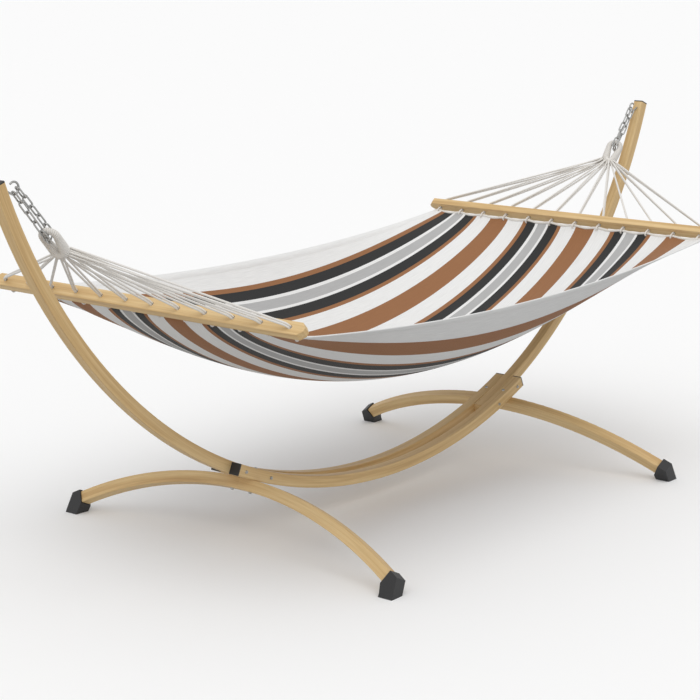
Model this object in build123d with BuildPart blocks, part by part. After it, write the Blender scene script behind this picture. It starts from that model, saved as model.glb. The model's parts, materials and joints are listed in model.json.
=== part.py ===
"""Hammock on a curved wooden stand, in millimetres.

The origin is on the floor under the middle of the stand. +X runs along the hammock's length, +Y
across it and +Z up. Two cheek beams hold the lower ends of two arms between them, two splayed legs
carry the cheeks, and the bed hangs by chains from a hook on each arm. side is -1 for the left end
(-X) and +1 for the right end, which mirrors it.
"""

from build123d import *
from math import asin, cos, degrees, pi, radians, sin, sqrt, tan
import os

os.makedirs("parts", exist_ok=True)

# --- stand: driving dimensions -------------------------------------------------------------
beam_width = 36.0  # every beam, across its bending plane
beam_depth = 37.0  # every beam, in its bending plane
beam_edge = 2.5  # rounding along a beam's edges
beam_gap = 0.2  # between an arm and each cheek

cheek_radius = 1821.0  # centreline of the cheek beams
cheek_height = 80.5  # underside of the cheeks above the floor, at the middle
cheek_end_angle = 24.0  # end of a cheek, from the vertical through its arc's centre
joint_angle = 21.2  # where leg, cheeks and arm meet, from the same vertical

arm_radius = 1670.0  # centreline of an arm
arm_lean = 22.4  # slope of an arm where it crosses the joint
arm_root_angle = 18.6  # lower end of an arm, hidden between the cheeks
arm_tip_angle = 69.6  # upper end of an arm

leg_radius = 1288.0  # upper face of a leg
leg_splay = 25.5  # lean of a leg's plane, outwards
leg_end_angle = 30.2  # end of a leg, inside its foot
leg_seat = 1.2  # how deep the leg is housed against the cheeks
seat_gap = 0.1  # between a leg and the beams above it

foot_wall = 5.0
foot_collar_angle = 29.1  # where the collar of a foot starts on the leg
foot_shoulder = 32.0  # from the collar to the bend of the upper face
foot_inner_y = 612.0  # sole of a foot, near edge
foot_outer_y = 661.0  # sole of a foot, far edge
foot_gap = 0.2  # between a foot's socket and the leg

cap_thickness = 4.0

# --- stand: fasteners ----------------------------------------------------------------------
bolt_diameter = 6.0
bolt_hole = 6.6
bolt_head_diameter = 11.0
bolt_head_height = 3.3
bolt_key = 4.0  # hexagon socket, across flats
bolt_key_depth = 2.0
washer_diameter = 13.0
washer_thickness = 1.2
nut_flats = 10.0
nut_height = 5.0
bolt_past_nut = 1.5
side_bolt_offset = 59.0  # along the cheek, each side of the leg
spotface_depth = 2.5
spotface_diameter = 17.0
fastener_gap = 0.05  # between a washer and what it bears on

# --- hooks and chains ----------------------------------------------------------------------
hook_wire = 6.0
hook_radius = 16.5  # centreline of the open hook
hook_setback = 25.0  # from the tip of the arm to the shank
hook_reach = 30.0  # straight shank, outside the arm
hook_thread = 22.0  # shank inside the arm
hook_slope = 25.0  # shank, downwards from the arm
hook_open_angle = 140.0  # where the hook's tip ends, seen with the arm on the left
hook_hole_gap = 0.1

link_wire = 5.0
link_length = 36.0  # inside
link_width = 10.0  # inside
link_gap = 0.4  # play between two links
hook_play = 1.6  # between the first links and the hook, so that they can swing on it
strand_links = 5  # from the hook to the ring, on each side of the loop
strand_offset = 8.4  # of the two strands at the hook, along the hook
pull_slope = 50.0  # of a chain, below the horizontal

# --- ring, ropes, bars and bed -------------------------------------------------------------
ring_tube = 20.0  # thickness of the wrapped ring
ring_crown_radius = 21.0  # centreline, at the chain
ring_throat_radius = 14.5  # centreline, at the ropes
ring_length = 53.0  # between the two centres
ring_gap = 1.2  # between the ring and the link that holds it
ring_twist = 20.0  # of the ring's plane about the pull, taken up between the chain's end links

rope_diameter = 6.2
rope_count = 12
rope_start = 22.0  # from the fan's centre, inside the ring
rope_row_pitch = 6.3
rope_bend = 12.0  # centreline radius over the mouth of a hole
rope_lift = 9.0  # of the bend's corner above the bar
rope_gather = 0.1  # least space between the two strands in a hole, centre offset past a radius

fan_slope = 32.3  # of the ropes, below the horizontal
fan_reach = 338.0  # from the fan's centre to a bar, in side view

bar_width = 42.0
bar_thickness = 25.0
bar_tilt = 44.0  # of the wide face's normal, from the vertical
bar_end = 48.0  # past the last hole
bar_corner = 15.0
bar_edge = 2.0
hole_pitch = 101.0
hole_clearance = 0.9  # between a hole and the two strands side by side in it

hem_cord_diameter = 8.0
hem_thickness = 1.5
hem_drop = 16.0  # from the bar to the hem cord
bed_thickness = 3.0
bed_margin = 20.5  # of cloth past the last hole
edge_sag = 58.0  # of the long edges, at the middle
trough_depth = 296.0  # of the middle below the edges
trough_fullness = 0.77
bed_stations = (0.0, 0.16, 0.32, 0.48, 0.62, 0.74, 0.84, 0.91, 0.96, 0.985, 1.0)

# --- places worked out from them -------------------------------------------------------------
half_depth = beam_depth / 2
half_width = beam_width / 2
cheek_centre_z = cheek_height + cheek_radius + half_depth
cheek_underside = cheek_radius + half_depth
cheek_middle_y = half_width + beam_gap + half_width
stand_half_width = cheek_middle_y + half_width

joint_x = cheek_radius * sin(radians(joint_angle))
joint_z = cheek_centre_z - cheek_radius * cos(radians(joint_angle))
arm_centre_x = joint_x - arm_radius * sin(radians(arm_lean))
arm_centre_z = joint_z + arm_radius * cos(radians(arm_lean))
arm_inner_radius = arm_radius - half_depth
arm_outer_radius = arm_radius + half_depth

seat_x = cheek_underside * sin(radians(joint_angle))
seat_z = cheek_centre_z - cheek_underside * cos(radians(joint_angle))
leg_floor_drop = seat_z / cos(radians(leg_splay))  # from the seat to the floor, in the leg's plane
leg_centreline = leg_radius - half_depth

rope_offset = rope_diameter / 2 + rope_gather
hole_diameter = 2 * (rope_offset + rope_diameter / 2) + hole_clearance
hem_radius = hem_cord_diameter / 2 + hem_thickness
loop_offset = hem_radius + rope_diameter / 2 + 0.2
hem_depth = bar_thickness + hem_drop
bar_length = (rope_count - 1) * hole_pitch + 2 * bar_end
bed_half_width = (rope_count - 1) * hole_pitch / 2 + bed_margin

hook_angle = 90 - arm_tip_angle + degrees(hook_setback / arm_inner_radius)
sides = {"left": -1, "right": 1}


def on_cheek(radius, angle):
    """A point of the cheeks' bending plane, (x, z) for the right end."""
    return (radius * sin(radians(angle)), cheek_centre_z - radius * cos(radians(angle)))


def on_arm(radius, angle):
    """A point of an arm's bending plane, (x, z) for the right end."""
    return (
        arm_centre_x + radius * sin(radians(angle)),
        arm_centre_z - radius * cos(radians(angle)),
    )


def along(start, slope, distance):
    """The point that far inboard and down from start, (x, z) for the right end."""
    return (start[0] - distance * cos(radians(slope)), start[1] - distance * sin(radians(slope)))


def beside(start, slope, distance):
    """The point that far to the upper, inboard side of a line with that slope."""
    return (start[0] - distance * sin(radians(slope)), start[1] + distance * cos(radians(slope)))


# (x, z) of the right end: the shank's mouth, the hook's centre, and the swing axis in its wire
hook_mouth = on_arm(arm_inner_radius, 90 - hook_angle)
hook_centre = beside(along(hook_mouth, hook_slope, hook_reach), hook_slope, hook_radius)
swing_point = along(hook_centre, pull_slope, hook_radius)

# distances from the swing axis along a chain's pull, where each link and the ring lie
hook_room = hook_radius - hook_wire / 2 - link_wire / 2 - hook_play
first_end = sqrt(hook_room**2 - strand_offset**2) - hook_radius + link_wire / 2
link_step = link_length - link_gap
strand_end = first_end + (strand_links - 1) * link_step + link_length
loop_place = strand_end - link_wire / 2 - link_gap
loop_offset_m = link_length / 2 - link_wire / 2 - link_gap
crown_place = loop_place - link_width / 2 - link_wire - ring_gap - ring_tube / 2
roll_place = loop_place - link_width / 2 - link_wire / 2
throat_place = crown_place + ring_crown_radius + ring_length
fan_centre = along(swing_point, pull_slope, throat_place)
bar_face = along(fan_centre, fan_slope, fan_reach)
hem_point = (
    bar_face[0] - hem_depth * sin(radians(bar_tilt)),
    bar_face[1] - hem_depth * cos(radians(bar_tilt)),
)
bed_half_length = hem_point[0]


def write(part, name):
    """Labels a finished piece and writes its STEP file."""
    part.label = name
    export_step(part, f"parts/{name}.step")


def side_bolt_places(side):
    """(x, z) of the two bolts across one joint."""
    turn = degrees(side_bolt_offset / cheek_radius)
    places = [on_cheek(cheek_radius, joint_angle + k * turn) for k in (-1, 1)]
    return [(side * x, z) for x, z in places]


def leg_bolt_plane(side, y, radius):
    """A plane across a leg bolt, facing up along it, that far from the cheeks' centre."""
    x, z = on_cheek(radius, joint_angle)
    up = (-side * sin(radians(joint_angle)), 0, cos(radians(joint_angle)))
    return Plane(origin=(side * x, y, z), x_dir=(0, 1, 0), z_dir=up)


# --- cheeks: two curved beams side by side ---------------------------------------------------
def arc_outline(inner, outer, point, start, end, side):
    """Draws a stretch of curved beam between two angles."""
    middle = (start + end) / 2
    corners = [point(r, a) for r, a in ((inner, start), (outer, start), (outer, end), (inner, end))]
    corners = [(side * x, z) for x, z in corners]
    tops = [point(r, middle) for r in (outer, inner)]
    tops = [(side * x, z) for x, z in tops]
    Line(corners[0], corners[1])
    ThreePointArc(corners[1], tops[0], corners[2])
    Line(corners[2], corners[3])
    ThreePointArc(corners[3], tops[1], corners[0])


upright = Plane(origin=(0, 0, 0), x_dir=(1, 0, 0), z_dir=(0, -1, 0))
for name, y_side in (("cheek_front", -1), ("cheek_back", 1)):
    with BuildPart() as cheek:
        with BuildSketch(upright.offset(-y_side * cheek_middle_y)):
            with BuildLine():
                arc_outline(
                    cheek_radius - half_depth,
                    cheek_underside,
                    on_cheek,
                    -cheek_end_angle,
                    cheek_end_angle,
                    1,
                )
            make_face()
        extrude(amount=half_width, both=True)
        fillet(cheek.edges().filter_by(GeomType.CIRCLE), beam_edge)
        for side in (-1, 1):
            with BuildSketch(upright):
                with Locations(*side_bolt_places(side)):
                    Circle(bolt_hole / 2)
            extrude(amount=2 * stand_half_width, both=True, mode=Mode.SUBTRACT)
            middle_y = y_side * cheek_middle_y
            with BuildSketch(leg_bolt_plane(side, middle_y, cheek_radius)):
                Circle(bolt_hole / 2)
            extrude(amount=beam_depth, both=True, mode=Mode.SUBTRACT)
    write(cheek.part, name)

for end_name, side in sides.items():
    for row_name, y_side in (("front", -1), ("back", 1)):
        cap_x, cap_z = on_cheek(cheek_radius, cheek_end_angle)
        outwards = (side * cos(radians(cheek_end_angle)), 0, sin(radians(cheek_end_angle)))
        cap_plane = Plane(
            origin=(side * cap_x, y_side * cheek_middle_y, cap_z), x_dir=(0, 1, 0), z_dir=outwards
        )
        with BuildPart() as cheek_cap:
            with BuildSketch(cap_plane):
                RectangleRounded(beam_width, beam_depth, beam_edge)
            extrude(amount=cap_thickness)
        write(cheek_cap.part, f"cheek_cap_{end_name}_{row_name}")

# --- arms and the caps on their tips ---------------------------------------------------------
for end_name, side in sides.items():
    shank = (side * cos(radians(hook_slope)), 0, sin(radians(hook_slope)))
    mouth = (side * hook_mouth[0], 0, hook_mouth[1])
    with BuildPart() as arm:
        with BuildSketch(upright):
            with BuildLine():
                arc_outline(
                    arm_inner_radius, arm_outer_radius, on_arm, arm_root_angle, arm_tip_angle, side
                )
            make_face()
        extrude(amount=half_width, both=True)
        fillet(arm.edges().filter_by(GeomType.CIRCLE), beam_edge)
        with BuildSketch(upright):
            with Locations(*side_bolt_places(side)):
                Circle(bolt_hole / 2)
        extrude(amount=beam_width, both=True, mode=Mode.SUBTRACT)
        with BuildSketch(Plane(origin=mouth, x_dir=(0, 1, 0), z_dir=shank).offset(-link_wire)):
            Circle(hook_wire / 2 + hook_hole_gap)
        extrude(amount=hook_thread + 1 + link_wire, mode=Mode.SUBTRACT)
    write(arm.part, f"arm_{end_name}")

    tip_x, tip_z = on_arm(arm_radius, arm_tip_angle)
    upwards = (side * cos(radians(arm_tip_angle)), 0, sin(radians(arm_tip_angle)))
    cap_plane = Plane(origin=(side * tip_x, 0, tip_z), x_dir=(0, 1, 0), z_dir=upwards)
    with BuildPart() as arm_cap:
        with BuildSketch(cap_plane):
            RectangleRounded(beam_width, beam_depth, beam_edge)
        extrude(amount=cap_thickness)
    write(arm_cap.part, f"arm_cap_{end_name}")


# --- legs: arched beams, housed against the cheeks -------------------------------------------
def leg_plane(side):
    """The plane a leg bends in: x is across the stand, y is down the leg's lean."""
    lean = (side * sin(radians(leg_splay)), 0, -cos(radians(leg_splay)))
    across = Vector(0, 1, 0).cross(Vector(*lean))
    return Plane(origin=(side * seat_x, 0, seat_z), x_dir=(0, 1, 0), z_dir=across)


def on_leg(radius, angle):
    """A point in a leg's plane: across the stand, and down from the seat."""
    return (
        radius * sin(radians(angle)),
        leg_radius - leg_seat - radius * cos(radians(angle)),
    )


for end_name, side in sides.items():
    with BuildPart() as leg:
        with BuildSketch(leg_plane(side)):
            with BuildLine():
                ends = [on_leg(leg_radius, k * leg_end_angle) for k in (-1, 1)]
                unders = [on_leg(leg_radius - beam_depth, k * leg_end_angle) for k in (-1, 1)]
                ThreePointArc(ends[0], on_leg(leg_radius, 0), ends[1])
                Line(ends[1], unders[1])
                ThreePointArc(unders[1], on_leg(leg_radius - beam_depth, 0), unders[0])
                Line(unders[0], ends[0])
            make_face()
        extrude(amount=half_width, both=True)
        fillet(leg.edges().filter_by(GeomType.CIRCLE), beam_edge)
        with BuildSketch(upright):
            with Locations((0, cheek_centre_z)):
                Circle(cheek_underside + seat_gap)
            with Locations((side * arm_centre_x, arm_centre_z)):
                Circle(arm_outer_radius + seat_gap)
        extrude(amount=2 * stand_half_width, both=True, mode=Mode.SUBTRACT)
        for y_side in (-1, 1):
            middle_y = y_side * cheek_middle_y
            with BuildSketch(leg_bolt_plane(side, middle_y, cheek_underside)):
                Circle(bolt_hole / 2)
            extrude(amount=-2 * beam_depth, mode=Mode.SUBTRACT)
            spotface = cheek_underside + beam_depth - spotface_depth
            with BuildSketch(leg_bolt_plane(side, middle_y, spotface)):
                Circle(spotface_diameter / 2)
            extrude(amount=-beam_depth, mode=Mode.SUBTRACT)
    write(leg.part, f"leg_{end_name}")

    # feet: a socket on each end of the leg, cut level with the floor
    for row_name, y_side in (("front", -1), ("back", 1)):
        collar_y, collar_drop = on_leg(leg_centreline, foot_collar_angle)
        cosine = cos(radians(foot_collar_angle))
        sine = sin(radians(foot_collar_angle))
        reach = half_depth + foot_wall
        outline = [
            (collar_y + reach * sine, collar_drop - reach * cosine),
            (
                collar_y + reach * sine + foot_shoulder * cosine,
                collar_drop - reach * cosine + foot_shoulder * sine,
            ),
            (foot_outer_y, leg_floor_drop),
            (foot_outer_y + 1, leg_floor_drop + beam_width),
            (foot_inner_y - 1, leg_floor_drop + beam_width),
            (foot_inner_y, leg_floor_drop),
            (collar_y - reach * sine, collar_drop + reach * cosine),
        ]
        outline = [(y_side * y, drop) for y, drop in outline]
        socket = [
            on_leg(leg_radius + foot_gap, foot_collar_angle - 1),
            on_leg(leg_radius + foot_gap, leg_end_angle + 0.02),
            on_leg(leg_radius - beam_depth - foot_gap, leg_end_angle + 0.02),
            on_leg(leg_radius - beam_depth - foot_gap, foot_collar_angle - 1),
        ]
        socket = [(y_side * y, drop) for y, drop in socket]
        upper_middle = on_leg(leg_radius + foot_gap, (foot_collar_angle + leg_end_angle) / 2)
        with BuildPart() as foot:
            with BuildSketch(leg_plane(side)):
                with BuildLine():
                    Polyline(*outline, close=True)
                make_face()
            extrude(amount=half_width + foot_wall, both=True)
            fillet(foot.edges().filter_by(GeomType.LINE), 1.2)
            split(bisect_by=Plane.XY, keep=Keep.TOP)
            with BuildSketch(leg_plane(side)):
                with BuildLine():
                    Polyline(*socket, close=True)
                make_face()
            extrude(amount=half_width + foot_gap, both=True, mode=Mode.SUBTRACT)
        write(foot.part, f"foot_{end_name}_{row_name}")


# --- fasteners: each kind is one group of equal solids ---------------------------------------
def side_bolt_planes(distance):
    """Planes across the side bolts, facing the front, that far from the stand's middle."""
    places = [place for side in sides.values() for place in side_bolt_places(side)]
    return [Plane(origin=(x, -distance, z), x_dir=(1, 0, 0), z_dir=(0, -1, 0)) for x, z in places]


def leg_bolt_planes(radius):
    """Planes across the leg bolts, facing up."""
    rows = (-cheek_middle_y, cheek_middle_y)
    return [leg_bolt_plane(side, y, radius) for side in sides.values() for y in rows]


side_grip = 2 * stand_half_width + washer_thickness + nut_height + bolt_past_nut
leg_seat_radius = cheek_underside + beam_depth - spotface_depth
leg_grip = leg_seat_radius - (cheek_radius - half_depth)
leg_grip += washer_thickness + nut_height + bolt_past_nut
washer_drop = washer_thickness + 2 * fastener_gap

bolt_groups = (
    ("side_bolts", side_bolt_planes(stand_half_width + fastener_gap), side_grip),
    ("leg_bolts", leg_bolt_planes(cheek_radius - half_depth - fastener_gap), leg_grip),
)
for name, planes, grip in bolt_groups:
    with BuildPart() as bolts:
        for plane in planes:
            with BuildSketch(plane):
                Circle(bolt_diameter / 2)
            extrude(amount=-grip)
            with BuildSketch(plane):
                Circle(bolt_head_diameter / 2)
            extrude(amount=bolt_head_height, taper=20)
            with BuildSketch(plane.offset(bolt_head_height - bolt_key_depth)):
                RegularPolygon(bolt_key / 2, 6, major_radius=False)
            extrude(amount=bolt_key_depth + 1, mode=Mode.SUBTRACT)
    write(bolts.part, name)

washer_groups = (
    ("side_washers", side_bolt_planes(-stand_half_width - fastener_gap)),
    ("leg_washers", leg_bolt_planes(leg_seat_radius + fastener_gap)),
)
for name, planes in washer_groups:
    with BuildPart() as washers:
        for plane in planes:
            with BuildSketch(plane):
                Circle(washer_diameter / 2)
                Circle(bolt_hole / 2, mode=Mode.SUBTRACT)
            extrude(amount=-washer_thickness)
    write(washers.part, name)

nut_groups = (
    ("side_nuts", side_bolt_planes(-stand_half_width - washer_drop)),
    ("leg_nuts", leg_bolt_planes(leg_seat_radius + washer_drop)),
)
for name, planes in nut_groups:
    with BuildPart() as nuts:
        for plane in planes:
            with BuildSketch(plane):
                RegularPolygon(nut_flats / 2, 6, major_radius=False)
                Circle(bolt_diameter / 2, mode=Mode.SUBTRACT)
            extrude(amount=-nut_height)
    write(nuts.part, name)

# --- hooks: open screw hooks in the arms -------------------------------------------------------
for end_name, side in sides.items():
    entry = along(hook_mouth, hook_slope, -hook_thread)
    bend_start = along(hook_mouth, hook_slope, hook_reach)
    first_angle = 270 - hook_slope if side < 0 else 270 + hook_slope
    sweep_angle = side * -(360 - (270 - hook_slope) + hook_open_angle)
    with BuildPart() as hook:
        with BuildLine(upright) as hook_line:
            Line((side * entry[0], entry[1]), (side * bend_start[0], bend_start[1]))
            CenterArc(
                (side * hook_centre[0], hook_centre[1]), hook_radius, first_angle, sweep_angle
            )
        start_plane = Plane(
            origin=(side * entry[0], 0, entry[1]),
            x_dir=(0, 1, 0),
            z_dir=(-side * cos(radians(hook_slope)), 0, -sin(radians(hook_slope))),
        )
        with BuildSketch(start_plane):
            Circle(hook_wire / 2)
        sweep(path=hook_line.wires()[0])
        fillet(hook.edges().filter_by(GeomType.CIRCLE).sort_by(Axis.Z)[-1], 1.5)
    write(hook.part, f"hook_{end_name}")


# --- chains: a loop of links from each hook through its ring ----------------------------------
def pull_ways(side, distance):
    """The way of a chain's pull, and the upper and cross ways there, which turn along the chain."""
    slope = radians(pull_slope)
    along_chain = (distance - link_length) / (loop_place - 2 * link_length)
    turn = radians(ring_twist) * min(1, max(0, along_chain))
    pull = Vector(-side * cos(slope), 0, -sin(slope))
    upper = Vector(-side * sin(slope), 0, cos(slope))
    across = Vector(0, 1, 0)
    turned_upper = upper * cos(turn) - across * side * sin(turn)
    turned_across = across * cos(turn) + upper * side * sin(turn)
    return pull, turned_upper, turned_across


def pull_point(side, distance, offset, cross=0.0):
    """A point that far along a chain's pull, and that far to its upper side and across it."""
    pull, upper, across = pull_ways(side, distance)
    start = Vector(side * swing_point[0], 0, swing_point[1])
    return start + pull * distance + upper * offset + across * cross


def link_places(side):
    """Each link of a chain: its centre, the way it runs, and the way across it."""
    pull, upper, across = pull_ways(side, loop_place)
    places = [(pull_point(side, loop_place, 0), upper, pull)]
    for strand in (-1, 1):
        hook_end = pull_point(side, first_end, strand * strand_offset)
        ring_end = pull_point(side, strand_end, strand * loop_offset_m)
        way = (ring_end - hook_end).normalized()
        for number in range(strand_links):
            distance = link_length / 2 + number * link_step
            across = pull_ways(side, distance)[2]
            flat_way = (across - way * across.dot(way)).normalized()
            if number % 2 == 1:
                flat_way = way.cross(flat_way)
            places.append((hook_end + way * distance, way, flat_way))
    return places


half_straight = (link_length - link_width) / 2
link_bend = (link_width + link_wire) / 2
for end_name, side in sides.items():
    with BuildPart() as chain:
        for centre, long_way, wide_way in link_places(side):
            normal = long_way.cross(wide_way)
            with BuildLine(Plane(origin=centre, x_dir=long_way, z_dir=normal)) as loop:
                Line((-half_straight, link_bend), (half_straight, link_bend))
                ThreePointArc(
                    (half_straight, link_bend),
                    (half_straight + link_bend, 0),
                    (half_straight, -link_bend),
                )
                Line((half_straight, -link_bend), (-half_straight, -link_bend))
                ThreePointArc(
                    (-half_straight, -link_bend),
                    (-half_straight - link_bend, 0),
                    (-half_straight, link_bend),
                )
            at_side = centre + wide_way * link_bend
            with BuildSketch(Plane(origin=at_side, x_dir=normal, z_dir=long_way)):
                Circle(link_wire / 2)
            sweep(path=loop.wires()[0])
    write(chain.part, f"chain_{end_name}")

# --- rings: the gathered ropes, wrapped to a thick eye -----------------------------------------
for end_name, side in sides.items():
    pull_way, _, cross_way = pull_ways(side, loop_place)
    normal = pull_way.cross(cross_way)
    crown_centre = crown_place + ring_crown_radius
    eye = Plane(origin=pull_point(side, crown_centre, 0), x_dir=pull_way, z_dir=normal)
    turn = asin((ring_crown_radius - ring_throat_radius) / ring_length)
    with BuildPart() as ring:
        with BuildLine(eye) as eye_line:
            crown = [
                (ring_crown_radius * sin(turn), k * ring_crown_radius * cos(turn)) for k in (1, -1)
            ]
            throat = [
                (
                    ring_length + ring_throat_radius * sin(turn),
                    k * ring_throat_radius * cos(turn),
                )
                for k in (1, -1)
            ]
            ThreePointArc(crown[0], (-ring_crown_radius, 0), crown[1])
            Line(crown[1], throat[1])
            ThreePointArc(throat[1], (ring_length + ring_throat_radius, 0), throat[0])
            Line(throat[0], crown[0])
        top = pull_point(side, crown_place, 0)
        with BuildSketch(Plane(origin=top, x_dir=pull_way, z_dir=cross_way)):
            Circle(ring_tube / 2)
        sweep(path=eye_line.wires()[0])
    write(ring.part, f"ring_{end_name}")


# --- spreader bars -----------------------------------------------------------------------------
def bar_plane(side):
    """The bar's outer wide face: x runs along the bar, z is the face's outward normal."""
    normal = (side * sin(radians(bar_tilt)), 0, cos(radians(bar_tilt)))
    return Plane(origin=(side * bar_face[0], 0, bar_face[1]), x_dir=(0, 1, 0), z_dir=normal)


for end_name, side in sides.items():
    with BuildPart() as bar:
        with BuildSketch(bar_plane(side)) as bar_sketch:
            Rectangle(bar_length, bar_width)
            chamfer(bar_sketch.vertices(), bar_corner)
        extrude(amount=-bar_thickness)
        fillet(bar.edges().filter_by(GeomType.LINE), bar_edge)
        with BuildSketch(bar_plane(side)):
            with GridLocations(hole_pitch, 1, rope_count, 1):
                Circle(hole_diameter / 2)
        extrude(amount=-bar_thickness, mode=Mode.SUBTRACT)
    write(bar.part, f"bar_{end_name}")


# --- ropes: each loops from the ring through the bar and round the hem ------------------------
def rope_route(side, number):
    """The corners of one rope's route, and the radius at each inner corner."""
    y = (number - (rope_count - 1) / 2) * hole_pitch
    normal = Vector(sin(radians(bar_tilt)), 0, cos(radians(bar_tilt)))
    width_way = Vector(-cos(radians(bar_tilt)), 0, sin(radians(bar_tilt)))
    hole = Vector(bar_face[0], y, bar_face[1])
    centre = Vector(fan_centre[0], 0, fan_centre[1])
    fan_normal = Vector(-sin(radians(fan_slope)), 0, cos(radians(fan_slope)))
    upper_way = Vector(-sin(radians(pull_slope)), 0, cos(radians(pull_slope)))
    rows = (1.5, -0.5) if number % 2 == 0 else (0.5, -1.5)

    def at(width, depth):
        return hole + width_way * width - normal * depth

    def start(mouth, row):
        out = (mouth - centre).normalized() * rope_start
        tilt = upper_way * side * out.Y * tan(radians(ring_twist))
        return centre + out + tilt + fan_normal * row * rope_row_pitch

    upper = at(rope_offset, -rope_lift)
    lower = at(-rope_offset, -rope_lift)
    neck = bar_thickness + 4
    flare = hem_depth - 3
    turn = hem_depth + loop_offset + 2
    points = [
        start(upper, rows[0]),
        upper,
        at(rope_offset, neck),
        at(loop_offset, flare),
        at(loop_offset, turn),
        at(-loop_offset, turn),
        at(-loop_offset, flare),
        at(-rope_offset, neck),
        lower,
        start(lower, rows[1]),
    ]
    small = 1.8 * rope_diameter
    tight = loop_offset - 0.4
    radii = [rope_bend, small, small, tight, tight, small, small, rope_bend]
    return [Vector(side * p.X, p.Y, p.Z) for p in points], radii


for end_name, side in sides.items():
    for number in range(rope_count):
        points, radii = rope_route(side, number)
        with BuildPart() as rope:
            with BuildLine() as rope_line:
                FilletPolyline(*points, radius=radii)
            with BuildSketch(Plane(origin=points[0], z_dir=(points[1] - points[0]).normalized())):
                Circle(rope_diameter / 2)
            sweep(path=rope_line.wires()[0])
        length = rope_line.wires()[0].length
        section = pi * rope_diameter**2 / 4
        print(
            f"rope_{end_name}_{number + 1}: length {length:.0f}, radii {sorted(set(radii))},"
            f" volume / (section x length) {rope.part.volume / (section * length):.4f}"
        )
        write(rope.part, f"rope_{end_name}_{number + 1}")

# --- bed: a trough of cloth between two hems ----------------------------------------------------
for end_name, side in sides.items():
    with BuildPart() as hem_cord:
        with BuildSketch(Plane.XZ.offset(-bed_half_width)):
            with Locations((side * hem_point[0], hem_point[1])):
                Circle(hem_cord_diameter / 2)
        extrude(amount=2 * bed_half_width)
    write(hem_cord.part, f"hem_cord_{end_name}")

stations = [-s for s in reversed(bed_stations[1:])] + list(bed_stations)
with BuildPart() as bed:
    for station in stations:
        fullness = max(1 - station**2, 0.004)
        edge_z = hem_point[1] - edge_sag * fullness
        middle_z = edge_z - trough_depth * fullness**trough_fullness
        low = bed_thickness / 2
        with BuildSketch(Plane.YZ.offset(station * bed_half_length)):
            with BuildLine():
                upper = [(-bed_half_width, edge_z + low), (0, middle_z + low), (bed_half_width, edge_z + low)]
                lower = [(bed_half_width, edge_z - low), (0, middle_z - low), (-bed_half_width, edge_z - low)]
                ThreePointArc(*upper)
                Line(upper[2], lower[0])
                ThreePointArc(*lower)
                Line(lower[2], upper[0])
            make_face()
    loft(ruled=True)
write(bed.part, "bed")

print("swing axis", [round(v, 2) for v in swing_point])
roll_point = along(swing_point, pull_slope, roll_place)
print("roll axis", [round(v, 2) for v in roll_point])
print("fan centre", [round(v, 2) for v in fan_centre])
print("bar face", [round(v, 2) for v in bar_face], "hem", [round(v, 2) for v in hem_point])
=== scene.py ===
import json
import math

import bpy
from mathutils import Euler, Matrix, Vector

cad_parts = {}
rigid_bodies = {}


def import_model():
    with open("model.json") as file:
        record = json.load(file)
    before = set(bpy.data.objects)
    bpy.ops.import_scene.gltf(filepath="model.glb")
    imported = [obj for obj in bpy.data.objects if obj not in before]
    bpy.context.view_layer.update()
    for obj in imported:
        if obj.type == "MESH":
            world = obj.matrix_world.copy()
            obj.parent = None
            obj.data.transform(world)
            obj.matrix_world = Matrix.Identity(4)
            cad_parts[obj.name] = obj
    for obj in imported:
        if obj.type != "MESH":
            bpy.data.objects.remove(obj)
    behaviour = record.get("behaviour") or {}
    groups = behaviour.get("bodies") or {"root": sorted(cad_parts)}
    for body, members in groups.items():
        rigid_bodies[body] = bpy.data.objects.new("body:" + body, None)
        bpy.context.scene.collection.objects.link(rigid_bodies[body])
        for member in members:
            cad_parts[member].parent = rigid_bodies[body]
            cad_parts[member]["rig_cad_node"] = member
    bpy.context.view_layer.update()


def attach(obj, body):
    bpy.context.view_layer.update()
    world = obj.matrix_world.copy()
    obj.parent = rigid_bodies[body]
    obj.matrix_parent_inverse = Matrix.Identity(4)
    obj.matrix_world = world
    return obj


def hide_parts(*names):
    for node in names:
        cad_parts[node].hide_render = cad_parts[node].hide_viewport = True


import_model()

sides = {"left": -1, "right": 1}


def deselectAll():
    for thing in bpy.context.selected_objects:
        thing.select_set(False)


def meshPiece(name, points, faces):
    mesh = bpy.data.meshes.new(name)
    mesh.from_pydata([tuple(point) for point in points], [], faces)
    mesh.update()
    piece = bpy.data.objects.new(name, mesh)
    bpy.context.scene.collection.objects.link(piece)
    for face in mesh.polygons:
        face.use_smooth = True
    return piece


def giveMaterial(piece, material):
    piece.data.materials.clear()
    piece.data.materials.append(material)


# camera at the height and angle of someone standing off the front left corner
viewpoint = {
    "place": (-4.7633, -3.7442, 1.8030),
    "yaw": 39.12,  # from +X towards +Y
    "pitch": 12.24,  # downwards
    "roll": -0.07,
    "lens": 98.2,
}


def makeCamera():
    yaw, pitch = math.radians(viewpoint["yaw"]), math.radians(viewpoint["pitch"])
    ahead = Vector((math.cos(yaw) * math.cos(pitch), math.sin(yaw) * math.cos(pitch), -math.sin(pitch)))
    right = Vector((math.sin(yaw), -math.cos(yaw), 0))
    turn = Matrix.Rotation(math.radians(viewpoint["roll"]), 3, ahead)
    right = turn @ right
    up = right.cross(ahead)
    data = bpy.data.cameras.new("camera")
    data.lens = viewpoint["lens"]
    data.sensor_width = 36
    data.clip_end = 500
    camera = bpy.data.objects.new("camera", data)
    bpy.context.scene.collection.objects.link(camera)
    basis = Matrix((right, up, -ahead)).transposed()
    camera.matrix_world = Matrix.Translation(viewpoint["place"]) @ basis.to_4x4()
    bpy.context.scene.camera = camera


makeCamera()
print("camera placed")

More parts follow.
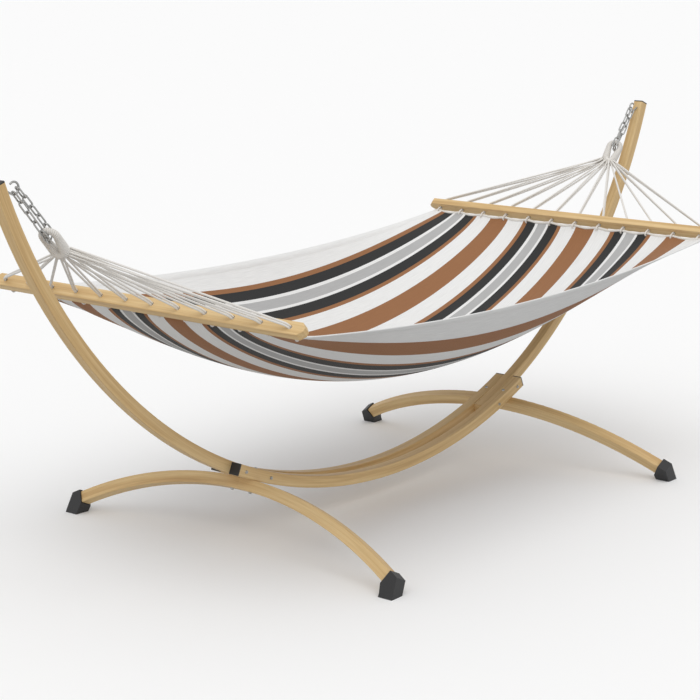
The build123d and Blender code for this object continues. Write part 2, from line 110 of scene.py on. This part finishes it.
# the hanging parts share these places, in metres, for the right end
hanging = {
    "fanCentre": (1.37593, 0.98944),
    "barFace": (1.09023, 0.80883),
    "barTilt": 44.0,
    "barThickness": 0.025,
    "fanSlope": 32.3,
    "pullSlope": 50.0,
    "ringTwist": 20.0,
    "swingPoint": (1.51639, 1.15683),
    "hemPoint": (1.06175, 0.77933),
    "hemDrop": 0.016,
    "holePitch": 0.101,
    "ropeCount": 12,
}

rope = {
    "diameter": 0.0062,
    "start": 0.022,
    "rowPitch": 0.0063,
    "lift": 0.009,
    "inHole": 0.0032,
    "aroundHem": 0.0088,
    "strandLay": 0.0160,
    "lobes": 3,
    "around": 12,
    "crest": 1.05,  # of a strand's crest, as a share of the cord's radius
    "groove": 0.14,  # how far the hollow between two strands lies below the crests
    "nearMouth": 0.034,
}


def ropeRoute(side, number):
    tilt, slope = math.radians(hanging["barTilt"]), math.radians(hanging["fanSlope"])
    normal = Vector((math.sin(tilt), 0, math.cos(tilt)))
    widthWay = Vector((-math.cos(tilt), 0, math.sin(tilt)))
    fanNormal = Vector((-math.sin(slope), 0, math.cos(slope)))
    y = (number - (hanging["ropeCount"] - 1) / 2) * hanging["holePitch"]
    hole = Vector((hanging["barFace"][0], y, hanging["barFace"][1]))
    centre = Vector((hanging["fanCentre"][0], 0, hanging["fanCentre"][1]))
    rows = (1.5, -0.5) if number % 2 == 0 else (0.5, -1.5)

    def at(width, depth):
        return hole + widthWay * width - normal * depth

    pullSlope = math.radians(hanging["pullSlope"])
    pullUpper = Vector((-math.sin(pullSlope), 0, math.cos(pullSlope)))
    lean = side * math.tan(math.radians(hanging["ringTwist"]))

    def start(mouth, row):
        out = (mouth - centre).normalized() * rope["start"]
        return centre + out + pullUpper * lean * out.y + fanNormal * row * rope["rowPitch"]

    upper, lower = at(rope["inHole"], -rope["lift"]), at(-rope["inHole"], -rope["lift"])
    upperStart, lowerStart = start(upper, rows[0]), start(lower, rows[1])
    neck = hanging["barThickness"] + 0.004
    hem = hanging["barThickness"] + hanging["hemDrop"]
    turn = hem + rope["aroundHem"] + 0.002
    points = [
        upperStart,
        upper + (upperStart - upper).normalized() * rope["nearMouth"],
        upper,
        at(rope["inHole"], neck),
        at(rope["aroundHem"], hem - 0.003),
        at(rope["aroundHem"], turn),
        at(-rope["aroundHem"], turn),
        at(-rope["aroundHem"], hem - 0.003),
        at(-rope["inHole"], neck),
        lower,
        lower + (lowerStart - lower).normalized() * rope["nearMouth"],
        lowerStart,
    ]
    return [Vector((side * point.x, point.y, point.z)) for point in points]


def routeLine(name, points, closed=False):
    # the smooth line of a route, read from its spline
    data = bpy.data.curves.new(name, "CURVE")
    data.dimensions = "3D"
    spline = data.splines.new("NURBS")
    spline.points.add(len(points) - 1)
    for knot, point in zip(spline.points, points):
        knot.co = (*point, 1)
    spline.order_u = 3
    spline.use_endpoint_u = not closed
    spline.use_cyclic_u = closed
    spline.resolution_u = 16
    holder = bpy.data.objects.new(name, data)
    bpy.context.scene.collection.objects.link(holder)
    bpy.context.view_layer.update()
    mesh = bpy.data.meshes.new_from_object(holder)
    line = [vertex.co.copy() for vertex in mesh.vertices]
    bpy.data.objects.remove(holder)
    bpy.data.curves.remove(data)
    bpy.data.meshes.remove(mesh)
    return line


def evenly(line, step, closed=False):
    if closed:
        line = line + [line[0]]
    reach = [0.0]
    for here, there in zip(line, line[1:]):
        reach.append(reach[-1] + (there - here).length)
    count = max(2, round(reach[-1] / step))
    spaced, k = [], 0
    for number in range(count + (0 if closed else 1)):
        wanted = reach[-1] * number / count
        while k < len(reach) - 2 and reach[k + 1] < wanted:
            k += 1
        share = (wanted - reach[k]) / max(1e-9, reach[k + 1] - reach[k])
        spaced.append(line[k].lerp(line[k + 1], min(1, share)))
    return spaced, reach[-1]


def steadyFrames(line, closed=False):
    # two ways square to the line at each point, turning as little as they can
    frames, way = [], None
    count = len(line)
    for k in range(count):
        before = line[k - 1] if k or closed else line[0]
        after = line[(k + 1) % count] if k < count - 1 or closed else line[-1]
        ahead = (after - before).normalized()
        if way is None:
            way = ahead.orthogonal().normalized()
        way = (way - ahead * way.dot(ahead)).normalized()
        frames.append((way, ahead.cross(way)))
    return frames


def twistedCord(name, line, diameter, around, lobes, phase=0.0):
    # a laid cord: its section has a lobe for each strand and turns along the line
    points, faces = [], []
    for number, (place, (a, b)) in enumerate(zip(line, steadyFrames(line))):
        turned = phase + 2 * math.pi * number / around
        for k in range(around):
            angle = 2 * math.pi * k / around
            crest = math.cos(lobes * (angle - turned))
            radius = diameter / 2 * (rope["crest"] - rope["groove"] * (1 - crest) / 2)
            points.append(place + (a * math.cos(angle) + b * math.sin(angle)) * radius)
    for number in range(len(line) - 1):
        for k in range(around):
            q = (k + 1) % around
            low, high = number * around, (number + 1) * around
            faces.append((low + k, low + q, high + q, high + k))
    last = (len(line) - 1) * around
    faces.append(tuple(reversed(range(around))))
    faces.append(tuple(last + k for k in range(around)))
    return meshPiece(name, points, faces)


def nodeMaterial(name, colour, roughness, metallic=0.0):
    material = bpy.data.materials.new(name)
    material.use_nodes = True
    tree = material.node_tree
    shader = tree.nodes["Principled BSDF"]
    shader.inputs["Base Color"].default_value = (*colour, 1)
    shader.inputs["Roughness"].default_value = roughness
    shader.inputs["Metallic"].default_value = metallic
    return material, tree, shader


def addNode(tree, kind, **settings):
    node = tree.nodes.new(kind)
    for key, value in settings.items():
        if key in node.inputs:
            node.inputs[key].default_value = value
        else:
            setattr(node, key, value)
    return node


def ramp(tree, source, stops, smooth="LINEAR"):
    node = tree.nodes.new("ShaderNodeValToRGB")
    node.color_ramp.interpolation = smooth
    elements = node.color_ramp.elements
    while len(elements) < len(stops):
        elements.new(0.5)
    for element, (place, colour) in zip(elements, stops):
        element.position = place
        element.color = (*colour, 1)
    tree.links.new(source, node.inputs["Fac"])
    return node


def bumpInto(tree, shader, source, strength, distance):
    node = addNode(tree, "ShaderNodeBump", Strength=strength, Distance=distance)
    tree.links.new(source, node.inputs["Height"])
    tree.links.new(node.outputs["Normal"], shader.inputs["Normal"])
    return node


def sRgb(r, g, b):
    shades = (v / 255 for v in (r, g, b))
    return tuple(v / 12.92 if v <= 0.04045 else ((v + 0.055) / 1.055) ** 2.4 for v in shades)


cordFinish = {"colour": sRgb(236, 233, 228), "shade": sRgb(212, 208, 202), "roughness": 0.85}


def cordMaterial(name, fibre=900.0):
    material, tree, shader = nodeMaterial(name, cordFinish["colour"], cordFinish["roughness"])
    place = tree.nodes.new("ShaderNodeTexCoord")
    noise = addNode(tree, "ShaderNodeTexNoise", Scale=fibre, Detail=4.0, Roughness=0.7)
    tree.links.new(place.outputs["Object"], noise.inputs["Vector"])
    tint = ramp(tree, noise.outputs["Fac"], [(0.3, cordFinish["shade"]), (0.62, cordFinish["colour"])])
    tree.links.new(tint.outputs["Color"], shader.inputs["Base Color"])
    bumpInto(tree, shader, noise.outputs["Fac"], 0.35, 0.0006)
    shader.inputs["Sheen Weight"].default_value = 0.1
    return material


ropeMaterial = cordMaterial("offWhiteCord")


def makeRopes():
    for endName, side in sides.items():
        for number in range(hanging["ropeCount"]):
            name = f"rope{endName.capitalize()}{number + 1}"
            line = routeLine(name, ropeRoute(side, number))
            step = rope["strandLay"] / rope["around"]
            line, length = evenly(line, step)
            piece = twistedCord(
                name, line, rope["diameter"], rope["around"], rope["lobes"], phase=number * 0.7
            )
            giveMaterial(piece, ropeMaterial)
            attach(piece, "hammock")
            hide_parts(f"rope_{endName}_{number + 1}")


makeRopes()
print("ropes laid from the rings to the bars")

wrapping = {
    "tube": 0.020,
    "swell": 0.55,  # thicker towards the ropes, where more cord is gathered
    "tall": 0.26,  # and taller than wide there, over the rows of rope ends
    "underlap": 0.0004,
    "crownRadius": 0.021,
    "throatRadius": 0.0145,
    "length": 0.053,
    "cord": 0.0048,
    "pitch": 0.94,  # of one turn to the next, in cord thicknesses
    "perTurn": 26,
    "section": 6,
    "step": 0.0008,
    "coreStep": 0.004,
    "coreAround": 14,
}


def ringWays(side):
    # the way of the pull, and the way across the ring, turned about the pull
    slope, twist = math.radians(hanging["pullSlope"]), math.radians(hanging["ringTwist"])
    pull = Vector((-side * math.cos(slope), 0, -math.sin(slope)))
    upper = Vector((-side * math.sin(slope), 0, math.cos(slope)))
    return pull, Vector((0, 1, 0)) * math.cos(twist) + upper * side * math.sin(twist)


def eyeLine(side):
    # the ring's closed centreline: a crown at the chain and a tighter throat at the ropes
    crownRadius, throatRadius = wrapping["crownRadius"], wrapping["throatRadius"]
    (fanX, fanZ), (swingX, swingZ) = hanging["fanCentre"], hanging["swingPoint"]
    throatPlace = Vector((fanX - swingX, fanZ - swingZ)).length
    crownPlace = throatPlace - wrapping["length"]
    turn = math.asin((crownRadius - throatRadius) / wrapping["length"])
    flat = []
    for k in range(49):
        angle = math.pi / 2 - turn + (math.pi + 2 * turn) * k / 48
        flat.append((crownPlace + crownRadius * math.cos(angle), crownRadius * math.sin(angle)))
    for k in range(33):
        angle = -(math.pi / 2 - turn) + (math.pi - 2 * turn) * k / 32
        flat.append((throatPlace + throatRadius * math.cos(angle), throatRadius * math.sin(angle)))
    pull, across = ringWays(side)
    start = Vector((side * swingX, 0, swingZ))
    return [start + pull * along + across * out for along, out in flat]


def closedTube(rows, around):
    # faces of a tube that ends where it starts, from rows of points around it
    faces = []
    for k in range(rows):
        for j in range(around):
            a, b = k * around, ((k + 1) % rows) * around
            q = (j + 1) % around
            faces.append((a + j, a + q, b + q, b + j))
    return faces


def bundleSize(side, centreLine):
    # gives half the height and half the width of the wrapped bundle at a place
    pull, _ = ringWays(side)
    core = wrapping["tube"] / 2 - wrapping["cord"] / 2
    runs = [place.dot(pull) for place in centreLine]
    crown, throat = min(runs), max(runs)

    def gathered(place):
        share = (place.dot(pull) - crown) / (throat - crown)
        share = share * share * (3 - 2 * share)
        wide = core * (1 + wrapping["swell"] * share)
        return wide * (1 + wrapping["tall"] * share), wide

    return gathered


def makeWrapping(endName, centreLine, around, square, gathered):
    # one cord wound round the bundle all the way along the ring
    turns = round(around / (wrapping["cord"] * wrapping["pitch"]))
    total, count = turns * wrapping["perTurn"], len(centreLine)
    spine, places, points = [], [], []
    for k in range(total):
        share = k / total * count
        here, there = centreLine[int(share) % count], centreLine[(int(share) + 1) % count]
        place = here.lerp(there, share % 1)
        outward = (there - here).normalized().cross(square)
        angle = 2 * math.pi * k / wrapping["perTurn"]
        tall, wide = gathered(place)
        places.append(place)
        spine.append(place + square * math.cos(angle) * tall + outward * math.sin(angle) * wide)
    section = wrapping["section"]
    for k, place in enumerate(places):
        out = (spine[k] - place).normalized()
        ahead = (spine[(k + 1) % total] - spine[k - 1]).normalized()
        along = ahead.cross(out).normalized()
        for j in range(section):
            angle = 2 * math.pi * j / section
            offset = (out * math.cos(angle) + along * math.sin(angle)) * wrapping["cord"] / 2
            points.append(spine[k] + offset)
    return meshPiece(f"wrappedRing{endName.capitalize()}", points, closedTube(total, section))


def makeCore(endName, side, square, gathered):
    # the gathered cords under the wrapping fill the ring
    around, points = wrapping["coreAround"], []
    line, _ = evenly(eyeLine(side), wrapping["coreStep"], closed=True)
    for k, place in enumerate(line):
        outward = (line[(k + 1) % len(line)] - line[k - 1]).normalized().cross(square)
        for j in range(around):
            angle = 2 * math.pi * j / around
            tall, wide = (value - wrapping["underlap"] for value in gathered(place))
            points.append(place + square * math.cos(angle) * tall + outward * math.sin(angle) * wide)
    return meshPiece(f"ringCore{endName.capitalize()}", points, closedTube(len(line), around))


def makeRings():
    for endName, side in sides.items():
        centreLine, around = evenly(eyeLine(side), wrapping["step"], closed=True)
        pull, across = ringWays(side)
        square = pull.cross(across)
        gathered = bundleSize(side, centreLine)
        wound = makeWrapping(endName, centreLine, around, square, gathered)
        core = makeCore(endName, side, square, gathered)
        for piece in (wound, core):
            giveMaterial(piece, ropeMaterial)
            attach(piece, "hammock")
        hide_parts(f"ring_{endName}")


makeRings()
print("rings wrapped")

cloth = {
    "halfWidth": 0.576,
    "edgeSag": 0.058,
    "troughDepth": 0.296,
    "fullness": 0.77,
    "thickness": 0.0018,
    "sideHem": 0.022,
    "sideHemThickness": 0.0040,
    "across": 150,
    "alongCells": 150,
    "scallop": 0.002,
    "pucker": 0.0045,
    "puckerReach": 0.10,
    "flat": (1.30, 2.26),
}
hemTube = {"radius": 0.0050, "around": 12}


stripes = {
    # from the back edge to the front, in hole spacings within one repeat
    "repeat": 3.70,
    "firstGroup": 1.15,
    "backEdge": 0.797,
    "width": 11.406,
    "spread": 0.497,  # how much wider the plain edges are half way along
    "plainFrom": 0.9,
    "plainTo": 12.0,
    "white": sRgb(236, 236, 235),
    "brown": sRgb(152, 104, 66),
    "black": sRgb(39, 39, 39),
    "grey": sRgb(180, 180, 180),
    "order": [
        (0.00, "brown"), (0.16, "black"), (0.53, "white"), (0.64, "grey"), (1.00, "white"),
        (1.11, "black"), (1.48, "brown"), (1.63, "white"), (2.25, "brown"), (3.02, "white"),
    ],
}


outerLoop = 0.5555  # from the middle of the bar to its last rope loop


def betweenLoops(y):
    # 0 at each rope loop and 1 half way to the next
    share = (y / hanging["holePitch"]) % 1.0
    if abs(y) < outerLoop:
        return math.sin(math.pi * ((share + 0.5) % 1.0)) ** 2
    return 0.25 * min(1, (abs(y) - outerLoop) / 0.02)


def clothPoint(station, across):
    # station runs -1..1 between the hems and across -1..1 between the long edges
    hemX, hemZ = hanging["hemPoint"]
    full = max(1 - station * station, 0.0)
    depth = cloth["troughDepth"] * full ** cloth["fullness"]
    half = cloth["halfWidth"]
    y = half * across
    if depth > 1e-4:
        radius = (half * half + depth * depth) / (2 * depth)
        sweep = math.asin(min(1.0, 2 * half * depth / (half * half + depth * depth)))
        if depth > half:
            sweep = math.pi - sweep
        angle = sweep * across
        y = radius * math.sin(angle)
        drop = radius * math.cos(angle) - (radius - depth)
    else:
        drop = 0
    x = hemX * station
    z = hemZ - cloth["edgeSag"] * full - drop
    fromHem = hemX * (1 - abs(station))
    gap = betweenLoops(y)
    fade = math.exp(-fromHem / 0.045)
    x -= math.copysign(1, station) * cloth["scallop"] * gap * fade
    z -= cloth["pucker"] * gap * math.exp(-fromHem / cloth["puckerReach"])
    return Vector((x, y, z))


def makeCloth():
    rows, columns = cloth["alongCells"], cloth["across"]
    hemX = hanging["hemPoint"][0]
    stations = []
    for k in range(rows + 1):
        station = 2 * k / rows - 1
        stations.append(math.sin(math.pi / 2 * station) * 0.35 + station * 0.65)
    edge = cloth["sideHem"] / (2 * cloth["halfWidth"])
    middle = columns - 8
    steps = [-1, -0.9985, -1 + edge * 1.0, -1 + edge * 2 - 0.002, -1 + edge * 2 + 0.001]
    inner = -1 + edge * 2 + 0.004
    acrossSteps = steps + [inner + (2 - 4 * edge - 0.008) * k / middle for k in range(middle + 1)]
    acrossSteps += [-value for value in reversed(steps)]
    columns = len(acrossSteps) - 1
    grid = [[clothPoint(station, across) for across in acrossSteps] for station in stations]
    points, faces = [], []
    wide = columns + 1
    normals = []
    for i in range(rows + 1):
        for j in range(wide):
            a = grid[min(i + 1, rows)][j] - grid[max(i - 1, 0)][j]
            b = grid[i][min(j + 1, columns)] - grid[i][max(j - 1, 0)]
            normals.append(a.cross(b).normalized())
    arcs = []
    for i in range(rows + 1):
        reach = [0.0]
        for j in range(columns):
            reach.append(reach[-1] + (grid[i][j + 1] - grid[i][j]).length)
        arcs.append([value / reach[-1] for value in reach])
    runs = [[0.0] * wide for _ in range(rows + 1)]
    for j in range(wide):
        for i in range(1, rows + 1):
            runs[i][j] = runs[i - 1][j] + (grid[i][j] - grid[i - 1][j]).length
    for layer in (1, -1):
        for i in range(rows + 1):
            for j in range(wide):
                inHem = abs(acrossSteps[j]) > 1 - edge * 2
                thick = cloth["sideHemThickness"] if inHem else cloth["thickness"]
                if abs(acrossSteps[j]) == 1:
                    thick = cloth["sideHemThickness"] * 0.45
                points.append(grid[i][j] + normals[i * wide + j] * layer * thick / 2)
    size = (rows + 1) * wide
    for i in range(rows):
        for j in range(columns):
            a, b = i * wide + j, (i + 1) * wide + j
            faces.append((a, b, b + 1, a + 1))
            faces.append((size + a, size + a + 1, size + b + 1, size + b))
    for i in range(rows):
        a, b = i * wide, (i + 1) * wide
        faces.append((a, size + a, size + b, b))
        a, b = a + columns, b + columns
        faces.append((a, b, size + b, size + a))
    for j in range(columns):
        faces.append((j, j + 1, size + j + 1, size + j))
        a = rows * wide + j
        faces.append((a, size + a, size + a + 1, a + 1))
    piece = meshPiece("bedCloth", points, faces)
    # the stripe map counts hole spacings from the back edge
    stripeMap = piece.data.uv_layers.new(name="stripeMap")
    for loop in piece.data.loops:
        i, j = divmod(loop.vertex_index % size, wide)
        spread = stripes["spread"] * (1 - stations[i] ** 2) ** 1.5
        count = stripes["backEdge"] - spread + (1 - arcs[i][j]) * (stripes["width"] + 2 * spread)
        count = min(stripes["plainTo"], max(stripes["plainFrom"], count))
        stripeMap.data[loop.index].uv = ((count - stripes["firstGroup"]) / stripes["repeat"] + 1, 0)
    uv = piece.data.uv_layers.new(name="UVMap")
    for loop in piece.data.loops:
        k = loop.vertex_index % size
        i, j = divmod(k, wide)
        uv.data[loop.index].uv = (arcs[i][j], runs[i][j])
    return piece


def clothMaterial():
    material, tree, shader = nodeMaterial("stripedCotton", stripes["white"], 0.88)
    link = tree.links.new
    uv = tree.nodes.new("ShaderNodeUVMap")
    uv.uv_map = "UVMap"
    parts = tree.nodes.new("ShaderNodeSeparateXYZ")
    link(uv.outputs["UV"], parts.inputs["Vector"])

    def sum_(operation, first, second):
        node = addNode(tree, "ShaderNodeMath", operation=operation)
        for socket, value in zip(node.inputs, (first, second)):
            if isinstance(value, (int, float)):
                socket.default_value = value
            else:
                link(value, socket)
        return node.outputs["Value"]

    stripeMap = tree.nodes.new("ShaderNodeUVMap")
    stripeMap.uv_map = "stripeMap"
    stripeParts = tree.nodes.new("ShaderNodeSeparateXYZ")
    link(stripeMap.outputs["UV"], stripeParts.inputs["Vector"])
    share = sum_("FRACT", stripeParts.outputs["X"], 0.0)
    order = [(place / stripes["repeat"], stripes[name]) for place, name in stripes["order"]]
    pattern = ramp(tree, share, order, "CONSTANT")
    # yarns: fine ribs both ways, and slow shade changes along the warp
    warp = sum_("SINE", sum_("MULTIPLY", parts.outputs["X"], 2 * math.pi * 900), 0.0)
    weft = sum_("SINE", sum_("MULTIPLY", parts.outputs["Y"], 2 * math.pi * 620), 0.0)
    weave = sum_("MULTIPLY", warp, weft)
    stretch = addNode(tree, "ShaderNodeMapping")
    stretch.inputs["Scale"].default_value = (900, 14, 1)
    link(uv.outputs["UV"], stretch.inputs["Vector"])
    streak = addNode(tree, "ShaderNodeTexNoise", Scale=1.0, Detail=3.0, Roughness=0.6)
    link(stretch.outputs["Vector"], streak.inputs["Vector"])
    tone = ramp(tree, streak.outputs["Fac"], [(0.25, (0.86, 0.86, 0.86)), (0.7, (1.03, 1.03, 1.03))])
    mix = addNode(tree, "ShaderNodeMix", data_type="RGBA", blend_type="MULTIPLY")
    mix.inputs["Factor"].default_value = 1.0
    link(pattern.outputs["Color"], mix.inputs["A"])
    link(tone.outputs["Color"], mix.inputs["B"])
    link(mix.outputs["Result"], shader.inputs["Base Color"])
    height = sum_("ADD", sum_("MULTIPLY", weave, 0.3), streak.outputs["Fac"])
    bumpInto(tree, shader, height, 0.35, 0.0005)
    shader.inputs["Sheen Weight"].default_value = 0.05
    return material


def makeHem(endName, side):
    hemX = hanging["hemPoint"][0]
    points, faces = [], []
    steps = 230
    around = hemTube["around"]
    for k in range(steps + 1):
        place = clothPoint(side * 0.99999, 2 * k / steps - 1)
        swell = 1.0 if 0 < k < steps else 0.7
        for j in range(around):
            angle = 2 * math.pi * j / around
            points.append(place + Vector((math.cos(angle), 0, math.sin(angle))) * hemTube["radius"] * swell)
    for k in range(steps):
        for j in range(around):
            q = (j + 1) % around
            faces.append((k * around + j, (k + 1) * around + j, (k + 1) * around + q, k * around + q))
    faces.append(tuple(range(around)))
    faces.append(tuple(reversed([steps * around + j for j in range(around)])))
    piece = meshPiece(f"endHem{endName.capitalize()}", points, faces)
    giveMaterial(piece, hemMaterial)
    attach(piece, "hammock")
    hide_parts(f"hem_cord_{endName}")
    return piece


hemMaterial = cordMaterial("whiteHem", 1400.0)
bedCloth = makeCloth()
giveMaterial(bedCloth, clothMaterial())
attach(bedCloth, "hammock")
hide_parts("bed")
hems = [makeHem(endName, side) for endName, side in sides.items()]
print("bed hung between its hems")

timber = {
    "light": sRgb(228, 198, 146),
    "middle": sRgb(216, 182, 127),
    "dark": sRgb(196, 158, 104),
    "roughness": 0.48,
}


def grainMaterial(name, centre=None, lean=None, straight=False):
    # grain runs along the beam: round the centre once turned by lean, or along Y if straight
    material, tree, shader = nodeMaterial(name, timber["middle"], timber["roughness"])
    link = tree.links.new
    place = tree.nodes.new("ShaderNodeTexCoord")
    vector = place.outputs["Object"]
    if not straight:
        shift = addNode(tree, "ShaderNodeMapping", vector_type="POINT")
        turn = lean.to_euler() if lean else Euler((0, 0, 0))
        shift.inputs["Rotation"].default_value = turn
        shift.inputs["Location"].default_value = -(turn.to_matrix() @ Vector(centre))
        link(vector, shift.inputs["Vector"])
        parts = tree.nodes.new("ShaderNodeSeparateXYZ")
        link(shift.outputs["Vector"], parts.inputs["Vector"])
        angle = addNode(tree, "ShaderNodeMath", operation="ARCTAN2")
        link(parts.outputs["X"], angle.inputs[0])
        down = addNode(tree, "ShaderNodeMath", operation="MULTIPLY")
        down.inputs[1].default_value = -1.0
        link(parts.outputs["Z"], down.inputs[0])
        link(down.outputs["Value"], angle.inputs[1])
        run = addNode(tree, "ShaderNodeMath", operation="MULTIPLY")
        run.inputs[1].default_value = 1.6
        link(angle.outputs["Value"], run.inputs[0])
        flat = addNode(tree, "ShaderNodeCombineXYZ")
        link(parts.outputs["X"], flat.inputs["X"])
        link(parts.outputs["Z"], flat.inputs["Y"])
        radius = addNode(tree, "ShaderNodeVectorMath", operation="LENGTH")
        link(flat.outputs["Vector"], radius.inputs[0])
        beam = addNode(tree, "ShaderNodeCombineXYZ")
        link(run.outputs["Value"], beam.inputs["X"])
        link(radius.outputs["Value"], beam.inputs["Y"])
        link(parts.outputs["Y"], beam.inputs["Z"])
        vector = beam.outputs["Vector"]
        along, across = (1.6, 70, 70), (9, 420, 420)
    else:
        along, across = (70, 1.6, 70), (420, 9, 420)
    broad = addNode(tree, "ShaderNodeMapping")
    broad.inputs["Scale"].default_value = along
    link(vector, broad.inputs["Vector"])
    rings = addNode(tree, "ShaderNodeTexNoise", Scale=1.0, Detail=3.0, Roughness=0.55, Distortion=0.4)
    link(broad.outputs["Vector"], rings.inputs["Vector"])
    fine = addNode(tree, "ShaderNodeMapping")
    fine.inputs["Scale"].default_value = across
    link(vector, fine.inputs["Vector"])
    fibres = addNode(tree, "ShaderNodeTexNoise", Scale=1.0, Detail=4.0, Roughness=0.65)
    link(fine.outputs["Vector"], fibres.inputs["Vector"])
    shades = [(0.28, timber["dark"]), (0.46, timber["middle"]), (0.66, timber["light"])]
    bands = ramp(tree, rings.outputs["Fac"], shades)
    tone = ramp(tree, fibres.outputs["Fac"], [(0.3, (0.84, 0.82, 0.79)), (0.6, (1.0, 1.0, 1.0))])
    mix = addNode(tree, "ShaderNodeMix", data_type="RGBA", blend_type="MULTIPLY")
    mix.inputs["Factor"].default_value = 0.8
    link(bands.outputs["Color"], mix.inputs["A"])
    link(tone.outputs["Color"], mix.inputs["B"])
    link(mix.outputs["Result"], shader.inputs["Base Color"])
    bumpInto(tree, shader, fibres.outputs["Fac"], 0.18, 0.0004)
    shine = addNode(tree, "ShaderNodeMapRange")
    shine.inputs["To Min"].default_value = 0.42
    shine.inputs["To Max"].default_value = 0.6
    link(rings.outputs["Fac"], shine.inputs["Value"])
    link(shine.outputs["Result"], shader.inputs["Roughness"])
    return material


def plasticMaterial():
    material, tree, shader = nodeMaterial("blackPlastic", (0.022, 0.022, 0.023), 0.5)
    place = tree.nodes.new("ShaderNodeTexCoord")
    noise = addNode(tree, "ShaderNodeTexNoise", Scale=900.0, Detail=2.0)
    tree.links.new(place.outputs["Object"], noise.inputs["Vector"])
    tint = ramp(tree, noise.outputs["Fac"], [(0.3, (0.017, 0.017, 0.018)), (0.7, (0.030, 0.030, 0.031))])
    tree.links.new(tint.outputs["Color"], shader.inputs["Base Color"])
    bumpInto(tree, shader, noise.outputs["Fac"], 0.3, 0.0003)
    return material


def steelMaterial(name, bright):
    material, tree, shader = nodeMaterial(name, (bright, bright, bright * 0.98), 0.38, 1.0)
    place = tree.nodes.new("ShaderNodeTexCoord")
    noise = addNode(tree, "ShaderNodeTexNoise", Scale=260.0, Detail=5.0, Roughness=0.6)
    tree.links.new(place.outputs["Object"], noise.inputs["Vector"])
    darker = (bright * 0.7, bright * 0.7, bright * 0.69)
    lighter = (bright * 1.15, bright * 1.15, bright * 1.12)
    tint = ramp(tree, noise.outputs["Fac"], [(0.3, darker), (0.65, lighter)])
    tree.links.new(tint.outputs["Color"], shader.inputs["Base Color"])
    spread = addNode(tree, "ShaderNodeMapRange")
    spread.inputs["To Min"].default_value = 0.28
    spread.inputs["To Max"].default_value = 0.5
    tree.links.new(noise.outputs["Fac"], spread.inputs["Value"])
    tree.links.new(spread.outputs["Result"], shader.inputs["Roughness"])
    bumpInto(tree, shader, noise.outputs["Fac"], 0.12, 0.0003)
    return material


def dressNodes():
    nodes = {thing["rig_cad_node"]: thing for thing in bpy.data.objects if "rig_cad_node" in thing}
    splay = math.radians(25.5)
    wood = {
        "cheek": grainMaterial("cheekTimber", (0, 0, 1.920)),
        "armLeft": grainMaterial("armTimberLeft", (-0.0225, 0, 1.765)),
        "armRight": grainMaterial("armTimberRight", (0.0225, 0, 1.765)),
        "bar": grainMaterial("barTimber", straight=True),
    }
    for endName, side in sides.items():
        seat = Vector((side * 0.6652, 0, 0.2050))
        down = Vector((side * math.sin(splay), 0, -math.cos(splay)))
        centre = seat + down * 1.2868
        across = Vector((0, 1, 0))
        # rows turn row space into the beam's own: across, square to its plane, and upwards
        turn = Matrix((across, -across.cross(down), -down))
        if turn.determinant() < 0:
            turn = Matrix((across, across.cross(down), -down))
        wood[f"leg{endName}"] = grainMaterial(f"legTimber{endName.capitalize()}", tuple(centre), turn)
    black = plasticMaterial()
    chainSteel = steelMaterial("chainSteel", 0.42)
    boltSteel = steelMaterial("boltSteel", 0.5)
    for name, thing in nodes.items():
        if name.startswith(("arm_cap", "cheek_cap", "foot")):
            giveMaterial(thing, black)
        elif name.startswith("cheek"):
            giveMaterial(thing, wood["cheek"])
        elif name in ("arm_left", "arm_right"):
            giveMaterial(thing, wood["armLeft" if name == "arm_left" else "armRight"])
        elif name in ("leg_left", "leg_right"):
            giveMaterial(thing, wood["leg" + name[4:]])
        elif name.startswith("bar"):
            giveMaterial(thing, wood["bar"])
        elif name.startswith(("chain", "hook")):
            giveMaterial(thing, chainSteel)
        elif name.startswith(("side_", "leg_")):
            giveMaterial(thing, boltSteel)
        else:
            giveMaterial(thing, ropeMaterial)


dressNodes()
print("timber, plastic and steel on the stand")

studio = {"floor": 0.93, "above": 0.80, "below": 0.52, "sun": 0.9, "softness": 60.0}


def makeStudio():
    deselectAll()
    bpy.ops.mesh.primitive_plane_add(size=300, location=(0, 0, 0))
    floor = bpy.context.object
    floor.name = "studioFloor"
    material, tree, shader = nodeMaterial("paleFloor", (studio["floor"],) * 3, 0.9)
    shader.inputs["Specular IOR Level"].default_value = 0.1
    giveMaterial(floor, material)
    floor.visible_diffuse = False
    world = bpy.data.worlds.new("softSky")
    world.use_nodes = True
    # paler above the horizon than below it
    tree = world.node_tree
    place = tree.nodes.new("ShaderNodeTexCoord")
    parts = tree.nodes.new("ShaderNodeSeparateXYZ")
    tree.links.new(place.outputs["Generated"], parts.inputs["Vector"])
    height = addNode(tree, "ShaderNodeMapRange")
    height.inputs["From Min"].default_value = -0.25
    height.inputs["From Max"].default_value = 0.25
    height.inputs["To Min"].default_value = studio["below"]
    height.inputs["To Max"].default_value = studio["above"]
    tree.links.new(parts.outputs["Z"], height.inputs["Value"])
    tree.links.new(height.outputs["Result"], tree.nodes["Background"].inputs["Strength"])
    tree.nodes["Background"].inputs["Color"].default_value = (1, 1, 1, 1)
    bpy.context.scene.world = world
    sun = bpy.data.lights.new("window", "SUN")
    sun.energy = studio["sun"]
    sun.angle = math.radians(studio["softness"])
    lamp = bpy.data.objects.new("window", sun)
    lamp.rotation_euler = Vector((0.45, 0.35, -1)).to_track_quat("-Z", "Y").to_euler()
    bpy.context.scene.collection.objects.link(lamp)
    bpy.context.scene.view_settings.view_transform = "Standard"


makeStudio()
print("studio lit")
